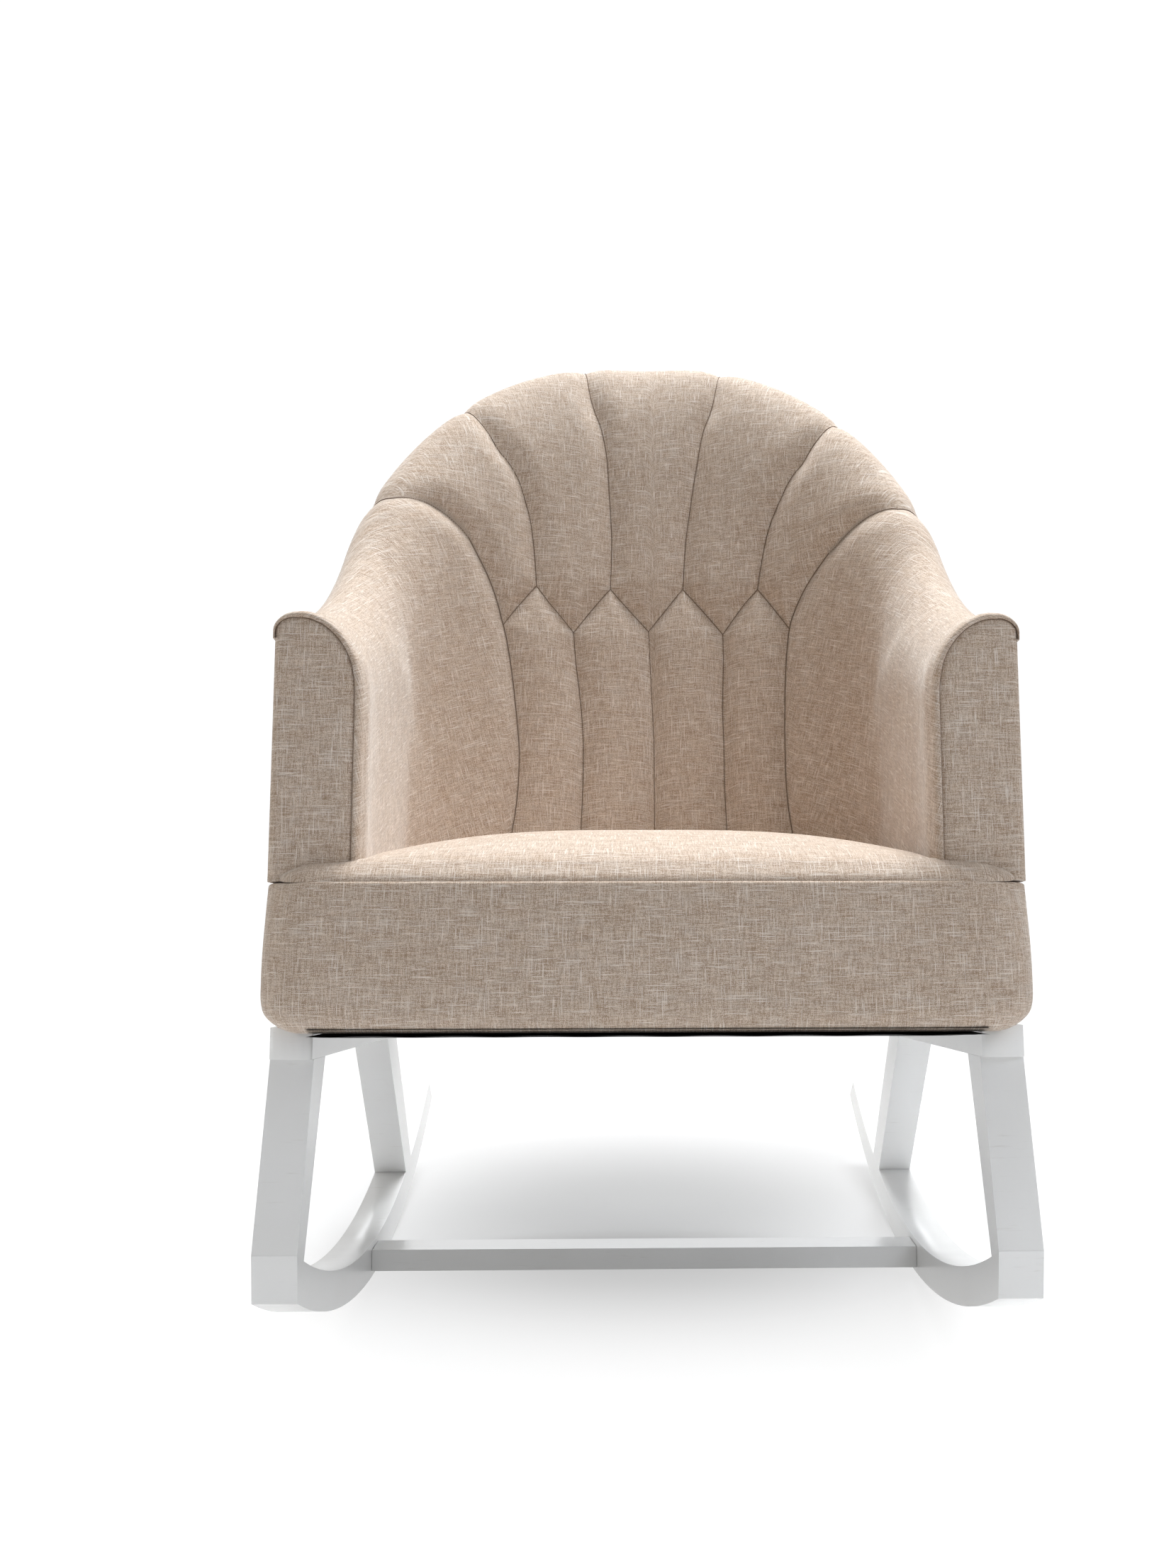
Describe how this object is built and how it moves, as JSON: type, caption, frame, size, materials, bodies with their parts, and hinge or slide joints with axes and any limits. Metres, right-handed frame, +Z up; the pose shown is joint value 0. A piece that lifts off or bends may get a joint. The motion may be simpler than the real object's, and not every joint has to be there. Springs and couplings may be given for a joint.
{
  "type": "nursery rocking chair",
  "caption": "Upholstered tub rocking chair with a channelled round back, a fixed sprung seat and a white wooden rocker base.",
  "frame": {"origin": "on the floor, midway between the sides and midway between the front and back extents, the chair standing at rest", "axes": "+Z up from the floor; +X across the chair towards the right-hand side seen from the front; +Y from the front towards the back"},
  "size_m": [0.64, 0.7578, 1.0348],
  "materials": {
    "white_paint": "satin white paint over beech",
    "frame_wood": "raw",
    "zinc_steel": "zinc plated",
    "oatmeal_weave": "slubby linen-look weave",
    "webbing": "elastic webbing",
    "black_cloth": "thin non-woven cloth"
  },
  "bodies": {
    "root": {"left_rocker": "white_paint", "right_rocker": "white_paint", "left_front_leg": "white_paint", "right_front_leg": "white_paint", "left_back_leg": "white_paint", "right_back_leg": "white_paint", "left_seat_rail": "white_paint", "right_seat_rail": "white_paint", "front_stretcher": "white_paint", "leg_dowels": "frame_wood", "stretcher_dowels": "frame_wood", "seat_bolts": "zinc_steel", "bolt_washers": "zinc_steel", "left_seat_side_rail": "frame_wood", "right_seat_side_rail": "frame_wood", "seat_front_rail": "frame_wood", "seat_cross_rail": "frame_wood", "seat_back_rail": "frame_wood", "corner_blocks": "frame_wood", "webbing_lengthwise": "webbing", "webbing_crosswise": "webbing", "deck_cloth": "black_cloth", "dust_cover": "black_cloth", "seat_border_front": "oatmeal_weave", "seat_border_rear": "oatmeal_weave", "seat_cushion": "oatmeal_weave", "left_arm_post": "frame_wood", "right_arm_post": "frame_wood", "left_arm_board": "frame_wood", "right_arm_board": "frame_wood", "back_shell": "frame_wood", "left_outside_arm": "oatmeal_weave", "right_outside_arm": "oatmeal_weave", "outside_back": "oatmeal_weave", "left_inside_arm": "oatmeal_weave", "right_inside_arm": "oatmeal_weave", "inside_back": "oatmeal_weave", "left_arm_front_panel": "oatmeal_weave", "right_arm_front_panel": "oatmeal_weave"}
  },
  "joints": []
}
